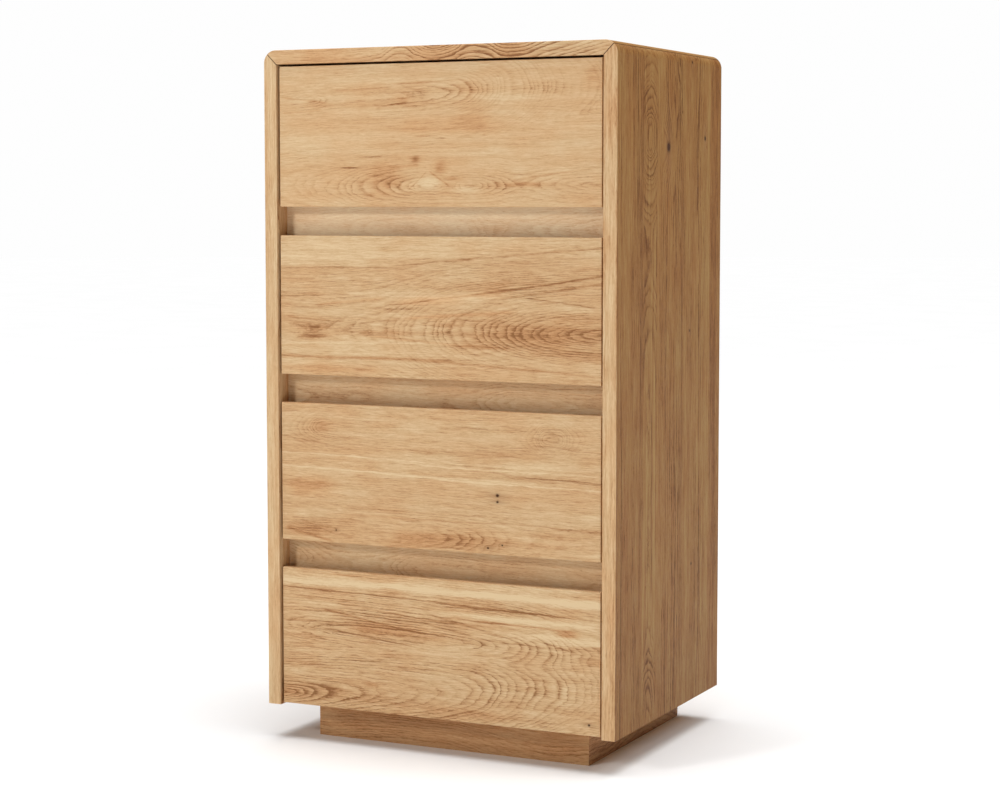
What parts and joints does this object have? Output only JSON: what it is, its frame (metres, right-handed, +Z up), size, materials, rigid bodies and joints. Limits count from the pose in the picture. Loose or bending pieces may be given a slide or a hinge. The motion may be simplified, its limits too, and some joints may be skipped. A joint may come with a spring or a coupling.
{
  "type": "tall chest of drawers",
  "caption": "Tall oak chest: mitred case with rounded top corners on a recessed plinth, and plain inset drawer fronts with finger gaps between them, on full-extension slides.",
  "frame": {"origin": "on the floor, midway between the sides and midway from front to back of the case", "axes": "+X to the right seen from the front, +Y from the drawer fronts to the back, +Z up"},
  "size_m": [0.6, 0.44, 1.092],
  "materials": {
    "oak_case": "matt oiled oak",
    "oak_front": "matt oiled oak",
    "oak_rail": "matt oiled oak",
    "oak_plinth": "matt oiled oak",
    "oak_back_ply": "oak-faced panel, matt",
    "drawer_box_wood": "pale solid wood, clear matt",
    "drawer_floor_ply": "pale plywood, clear matt",
    "beech": "unfinished beech",
    "slide_steel": "zinc-plated sheet steel",
    "ball_cage": "zinc-plated cage with steel balls",
    "zinc_screw": "zinc-plated"
  },
  "bodies": {
    "case": {"side_panel_left": "oak_case", "side_panel_right": "oak_case", "top_panel": "oak_case", "bottom_panel": "oak_case", "back_panel": "oak_back_ply", "rail_upper": "oak_rail", "rail_middle": "oak_rail", "rail_lower": "oak_rail", "plinth_front": "oak_plinth", "plinth_back": "oak_plinth", "plinth_left": "oak_plinth", "plinth_right": "oak_plinth", "plinth_corner_blocks": "beech", "mitre_splines": "beech", "case_dowels": "beech", "back_panel_screws": "zinc_screw", "plinth_screws": "zinc_screw", "slide_case_members": "slide_steel", "slide_case_screws": "zinc_screw"},
    "drawer_1": {"drawer_1_front": "oak_front", "drawer_1_inner_front": "drawer_box_wood", "drawer_1_back": "drawer_box_wood", "drawer_1_side_left": "drawer_box_wood", "drawer_1_side_right": "drawer_box_wood", "drawer_1_floor": "drawer_floor_ply", "drawer_1_slide_members": "slide_steel", "drawer_1_screws": "zinc_screw"},
    "drawer_1_middle": {"drawer_1_middle_members": "slide_steel", "drawer_1_ball_cages": "ball_cage"},
    "drawer_2": {"drawer_2_front": "oak_front", "drawer_2_inner_front": "drawer_box_wood", "drawer_2_back": "drawer_box_wood", "drawer_2_side_left": "drawer_box_wood", "drawer_2_side_right": "drawer_box_wood", "drawer_2_floor": "drawer_floor_ply", "drawer_2_slide_members": "slide_steel", "drawer_2_screws": "zinc_screw"},
    "drawer_2_middle": {"drawer_2_middle_members": "slide_steel", "drawer_2_ball_cages": "ball_cage"},
    "drawer_3": {"drawer_3_front": "oak_front", "drawer_3_inner_front": "drawer_box_wood", "drawer_3_back": "drawer_box_wood", "drawer_3_side_left": "drawer_box_wood", "drawer_3_side_right": "drawer_box_wood", "drawer_3_floor": "drawer_floor_ply", "drawer_3_slide_members": "slide_steel", "drawer_3_screws": "zinc_screw"},
    "drawer_3_middle": {"drawer_3_middle_members": "slide_steel", "drawer_3_ball_cages": "ball_cage"},
    "drawer_4": {"drawer_4_front": "oak_front", "drawer_4_inner_front": "drawer_box_wood", "drawer_4_back": "drawer_box_wood", "drawer_4_side_left": "drawer_box_wood", "drawer_4_side_right": "drawer_box_wood", "drawer_4_floor": "drawer_floor_ply", "drawer_4_slide_members": "slide_steel", "drawer_4_screws": "zinc_screw"},
    "drawer_4_middle": {"drawer_4_middle_members": "slide_steel", "drawer_4_ball_cages": "ball_cage"}
  },
  "joints": [
    {"name": "drawer_1_slide", "type": "slide", "parent": "case", "child": "drawer_1", "axis": [0, -1, 0], "range_m": [0, 0.35]},
    {"name": "drawer_1_middle_slide", "type": "slide", "parent": "case", "child": "drawer_1_middle", "axis": [0, -1, 0], "range_m": [0, 0.175]},
    {"name": "drawer_2_slide", "type": "slide", "parent": "case", "child": "drawer_2", "axis": [0, -1, 0], "range_m": [0, 0.35]},
    {"name": "drawer_2_middle_slide", "type": "slide", "parent": "case", "child": "drawer_2_middle", "axis": [0, -1, 0], "range_m": [0, 0.175]},
    {"name": "drawer_3_slide", "type": "slide", "parent": "case", "child": "drawer_3", "axis": [0, -1, 0], "range_m": [0, 0.35]},
    {"name": "drawer_3_middle_slide", "type": "slide", "parent": "case", "child": "drawer_3_middle", "axis": [0, -1, 0], "range_m": [0, 0.175]},
    {"name": "drawer_4_slide", "type": "slide", "parent": "case", "child": "drawer_4", "axis": [0, -1, 0], "range_m": [0, 0.35]},
    {"name": "drawer_4_middle_slide", "type": "slide", "parent": "case", "child": "drawer_4_middle", "axis": [0, -1, 0], "range_m": [0, 0.175]}
  ],
  "couplings": [
    {"joint": "drawer_1_middle_slide", "follows": "drawer_1_slide", "ratio": 0.5},
    {"joint": "drawer_2_middle_slide", "follows": "drawer_2_slide", "ratio": 0.5},
    {"joint": "drawer_3_middle_slide", "follows": "drawer_3_slide", "ratio": 0.5},
    {"joint": "drawer_4_middle_slide", "follows": "drawer_4_slide", "ratio": 0.5}
  ]
}
